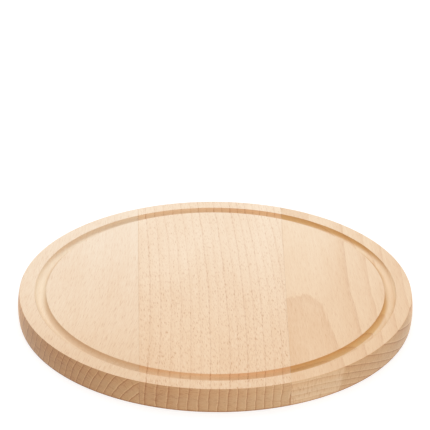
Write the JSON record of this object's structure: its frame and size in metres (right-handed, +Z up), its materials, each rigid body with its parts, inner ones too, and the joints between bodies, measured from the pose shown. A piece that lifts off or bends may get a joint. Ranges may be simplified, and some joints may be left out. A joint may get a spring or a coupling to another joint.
{
  "type": "round cutting board",
  "caption": "Round oiled beech cutting board, edge-glued from long-grain staves, with a flat cutting face, a half-round juice groove inside the rim and a softly crowned side.",
  "frame": {"origin": "centre of the flat underside, on the surface that the board lies on", "axes": "+Z up out of the cutting face, Y along the grain of the staves, -Y towards the viewer of the picture, +X to the right"},
  "size_m": [0.26, 0.26, 0.016],
  "materials": {
    "beech_left": "oiled, fine sanded",
    "beech_centre": "oiled, fine sanded",
    "beech_right": "oiled, fine sanded",
    "wood_glue": "dried, sanded flush"
  },
  "bodies": {
    "root": {"left_stave": "beech_left", "centre_stave": "beech_centre", "right_stave": "beech_right", "left_glue_line": "wood_glue", "right_glue_line": "wood_glue"}
  },
  "joints": []
}
